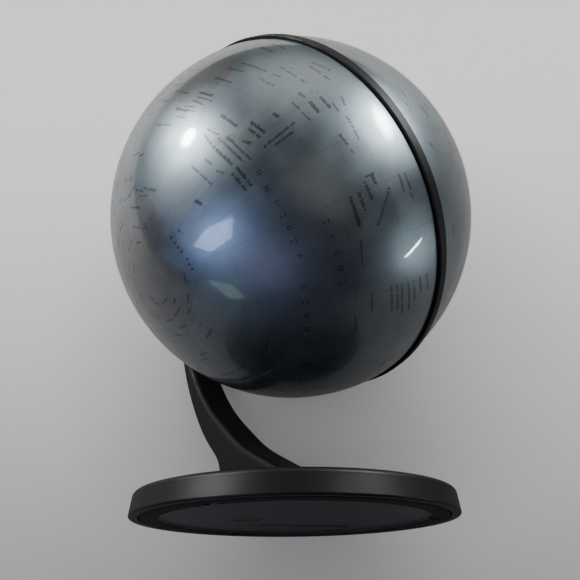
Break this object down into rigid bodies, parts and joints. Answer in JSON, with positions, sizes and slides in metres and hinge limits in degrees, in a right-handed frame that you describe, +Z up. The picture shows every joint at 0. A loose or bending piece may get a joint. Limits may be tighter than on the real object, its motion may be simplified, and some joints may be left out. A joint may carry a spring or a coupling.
{
  "type": "desk globe",
  "caption": "Small desk globe: ball of two hemispheres spinning on a polar axle inside an equator ring that tilts on one pivot of a C-shaped arm on a weighted round base.",
  "frame": {"origin": "centre of the round base on the plane that the globe stands on", "axes": "+Z up; +Y from the base centre towards the arm and its pivot; +X completes the right-handed frame, and the north pole leans towards it at rest"},
  "size_m": [0.15, 0.1708, 0.1985],
  "materials": {
    "globe_coat": "pearlescent silver-blue metallic coat under clear gloss",
    "black_satin": "satin black moulded plastic",
    "black_matte": "fine-textured dark grey moulded plastic",
    "dark_screw": "black zinc screws",
    "steel": "zinc-plated steel",
    "brass": "turned brass",
    "white_acetal": "natural acetal",
    "fibre": "dark fibre",
    "inner_plastic": "plain moulded plastic",
    "ballast_iron": "rough cast",
    "foam_rubber": "foam"
  },
  "bodies": {
    "stand": {"base_shell": "black_satin", "base_cover": "black_matte", "cover_screws": "dark_screw", "ballast_plate": "ballast_iron", "ballast_pad": "foam_rubber", "arm": "black_satin", "arm_screws": "steel", "arm_washers": "steel", "pivot_bush": "white_acetal", "friction_washer": "fibre", "pivot_washer": "steel", "pivot_cap": "black_satin"},
    "ring": {"equator_ring": "black_satin", "pivot_insert": "brass", "pivot_screw": "steel", "spring_washer": "steel", "hub_bush_north": "white_acetal", "hub_bush_south": "white_acetal"},
    "globe": {"polar_axle": "steel", "thrust_washers": "white_acetal", "axle_clips": "steel", "north_hemisphere": "globe_coat", "south_hemisphere": "globe_coat", "north_rim_hoop": "inner_plastic", "south_rim_hoop": "inner_plastic", "north_pole_socket": "inner_plastic", "south_pole_socket": "inner_plastic"}
  },
  "joints": [
    {"name": "ring_tilt", "type": "hinge", "parent": "stand", "child": "ring", "pos_m": [0, 0, 0.1235], "axis": [0, 1, 0], "continuous": true},
    {"name": "globe_spin", "type": "hinge", "parent": "ring", "child": "globe", "pos_m": [0, 0, 0.1235], "axis": [0.8171, 0, 0.5764], "continuous": true}
  ]
}
